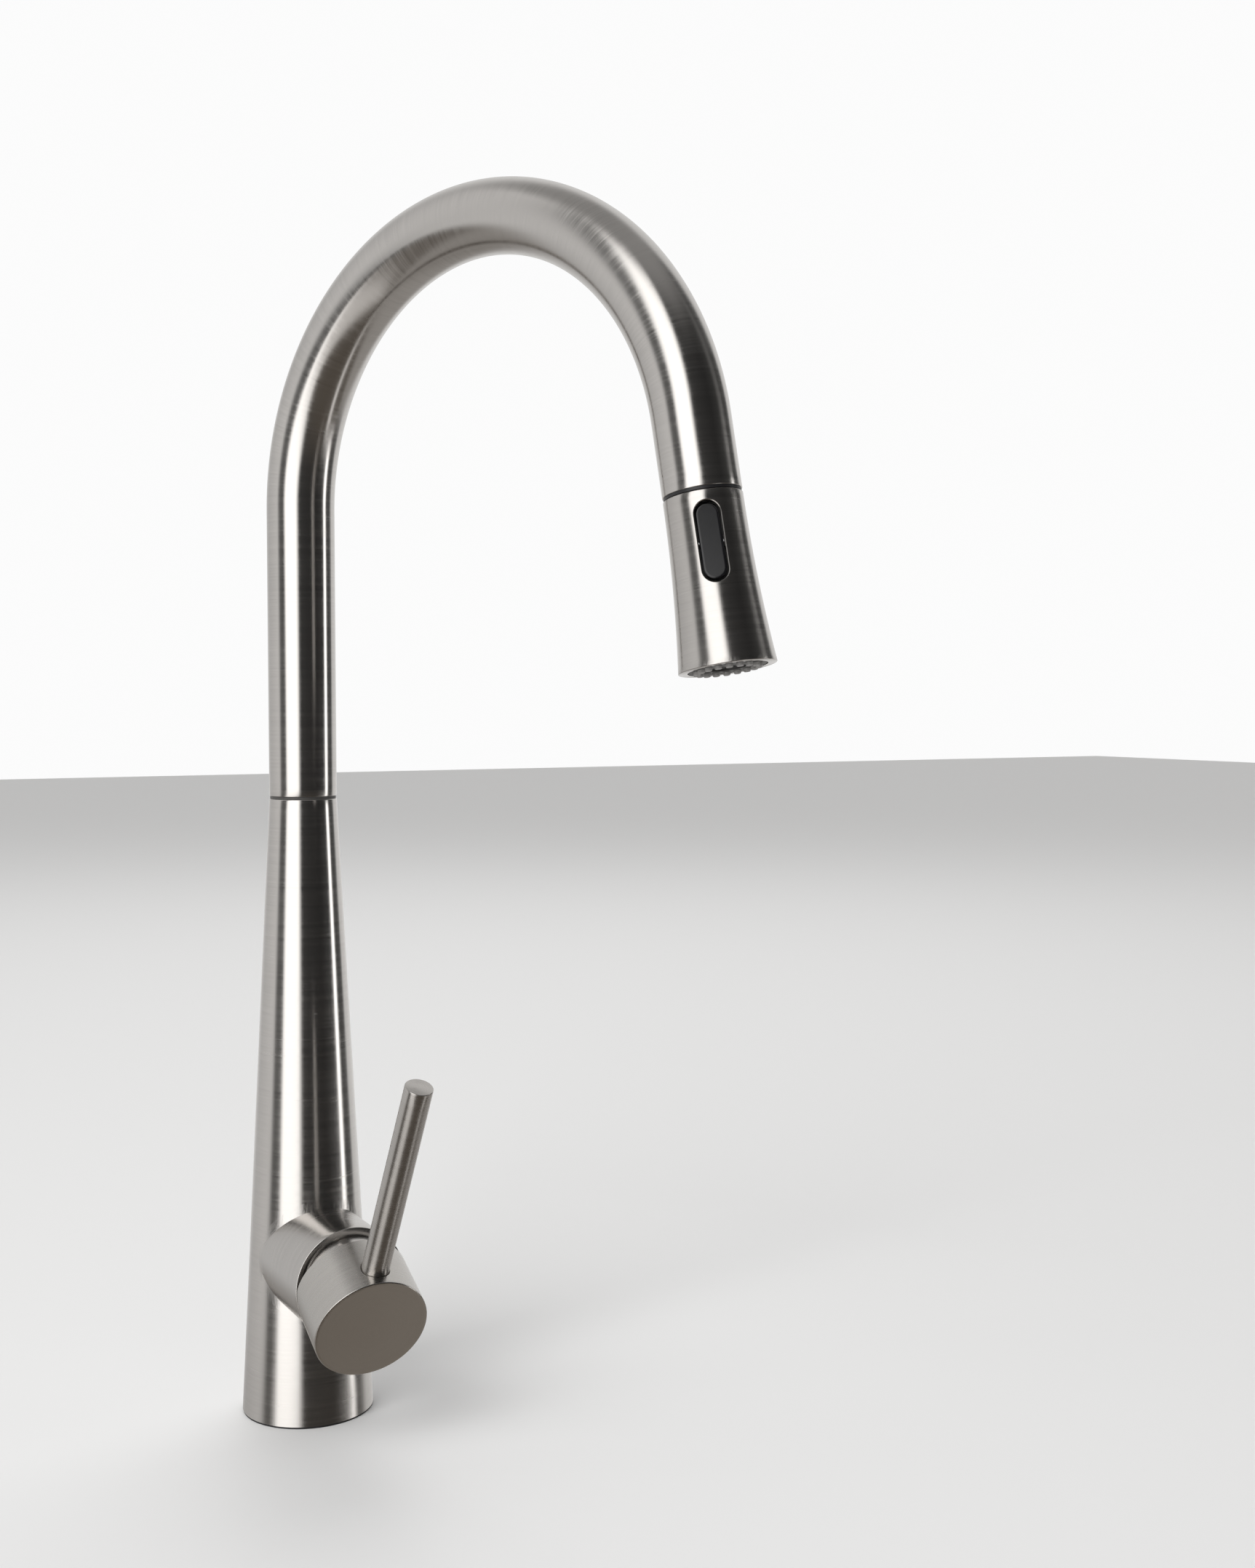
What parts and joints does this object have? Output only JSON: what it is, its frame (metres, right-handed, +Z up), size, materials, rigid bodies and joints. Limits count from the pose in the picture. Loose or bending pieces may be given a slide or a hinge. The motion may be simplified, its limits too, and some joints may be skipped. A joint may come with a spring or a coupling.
{
  "type": "pull down kitchen faucet",
  "caption": "Gooseneck kitchen faucet with a tapered body, a side mixer lever and a pull down spray head on a hose.",
  "frame": {"origin": "on the deck surface at the middle of the base, on the axis of the shank", "axes": "+Z up, -Y towards the user and along the mixer branch, +X to the user's right"},
  "size_m": [0.1272, 0.2507, 0.5839],
  "materials": {
    "brushed_steel": "satin brushed stainless finish, brushed around each round piece",
    "brass": "machined brass",
    "black_plastic": "gloss black",
    "black_matte": "matt black",
    "grey_plastic": "moulded grey",
    "white_plastic": "moulded white acetal",
    "black_rubber": "moulded rubber",
    "grey_rubber": "soft grey silicone",
    "ceramic_white": "lapped alumina ceramic",
    "copper_tube": "drawn copper",
    "zinc_steel": "zinc plated steel",
    "hose_nylon": "braided grey nylon",
    "magnet": "nickel plated magnet"
  },
  "bodies": {
    "base": {"body_shell": "brushed_steel", "base_gasket": "black_rubber", "base_plate": "brass", "threaded_shank": "brass", "rubber_washer": "black_rubber", "steel_washer": "zinc_steel", "mounting_nut": "brass", "jack_screws": "zinc_steel", "valve_body": "brass", "hot_tube": "copper_tube", "cold_tube": "copper_tube", "mixed_tube": "copper_tube", "hot_socket": "brass", "cold_socket": "brass", "mixed_socket": "brass", "cartridge_base": "white_plastic", "port_seals": "black_rubber", "fixed_disc": "ceramic_white", "cartridge_housing": "white_plastic", "cartridge_nut": "brass", "dome_ring": "brushed_steel", "glide_washer": "grey_plastic", "upper_bush": "white_plastic", "lower_bush": "white_plastic", "friction_ring": "black_rubber"},
    "mixer_rotor": {"cartridge_rotor": "white_plastic", "stem_pin": "zinc_steel"},
    "mixer_disc": {"moving_disc": "ceramic_white", "disc_driver": "white_plastic"},
    "handle": {"stem": "brass", "handle_cap": "brushed_steel", "lever": "brushed_steel", "set_screw": "zinc_steel"},
    "spout": {"spout_tube": "brushed_steel", "spout_sleeve": "brass", "snap_ring": "zinc_steel", "dock_collar": "black_matte", "dock_magnet": "magnet", "pull_hose": "hose_nylon", "hose_inlet": "brass"},
    "hose_end": {"hose_ferrule": "zinc_steel", "hose_tail": "brass"},
    "spray_head": {"head_shell": "brushed_steel", "head_core": "grey_plastic", "dock_neck": "black_matte", "hose_nut": "zinc_steel", "inlet_washer": "black_rubber", "head_magnet": "magnet", "rocker_pin": "zinc_steel", "spray_plate": "grey_plastic", "nozzle_mat": "grey_rubber", "face_gasket": "black_rubber", "aerator_housing": "grey_plastic", "aerator_insert": "grey_plastic"},
    "rocker": {"rocker_button": "black_plastic"},
    "diverter": {"diverter_spool": "white_plastic", "spool_rings": "black_rubber"}
  },
  "joints": [
    {"name": "spout_swivel", "type": "hinge", "parent": "base", "child": "spout", "pos_m": [0, 0, 0.26], "axis": [0, 0, 1], "continuous": true},
    {"name": "temperature_turn", "type": "hinge", "parent": "base", "child": "mixer_rotor", "pos_m": [0, -0.0545, 0.0675], "axis": [0, -1, 0], "range_deg": [-41.5, 48.5]},
    {"name": "lever_lift", "type": "hinge", "parent": "mixer_rotor", "child": "handle", "pos_m": [0, -0.0545, 0.0675], "axis": [0.9981, 0, -0.061], "range_deg": [-24, 0]},
    {"name": "disc_slide", "type": "slide", "parent": "mixer_rotor", "child": "mixer_disc", "axis": [0.061, 0, 0.9981], "range_m": [-0.0039, 0]},
    {"name": "pull_out", "type": "slide", "parent": "spout", "child": "hose_end", "axis": [0.0677, -0.1692, -0.9833], "range_m": [0, 0.45], "deforming": ["pull_hose"]},
    {"name": "head_turn", "type": "hinge", "parent": "hose_end", "child": "spray_head", "pos_m": [0.07838, -0.19598, 0.373], "axis": [0.0677, -0.1692, -0.9833], "continuous": true},
    {"name": "rocker_tilt", "type": "hinge", "parent": "spray_head", "child": "rocker", "pos_m": [0.0747, -0.20804, 0.35529], "axis": [-0.8698, 0.4728, -0.1412], "range_deg": [-14, 0]},
    {"name": "spool_slide", "type": "slide", "parent": "spray_head", "child": "diverter", "axis": [0.0677, -0.1692, -0.9833], "range_m": [-0.00158, 0]}
  ],
  "couplings": [
    {"joint": "disc_slide", "follows": "lever_lift", "m_per_rad": 0.0093},
    {"joint": "rocker_tilt", "follows": "spool_slide", "rad_per_m": 153.8}
  ]
}
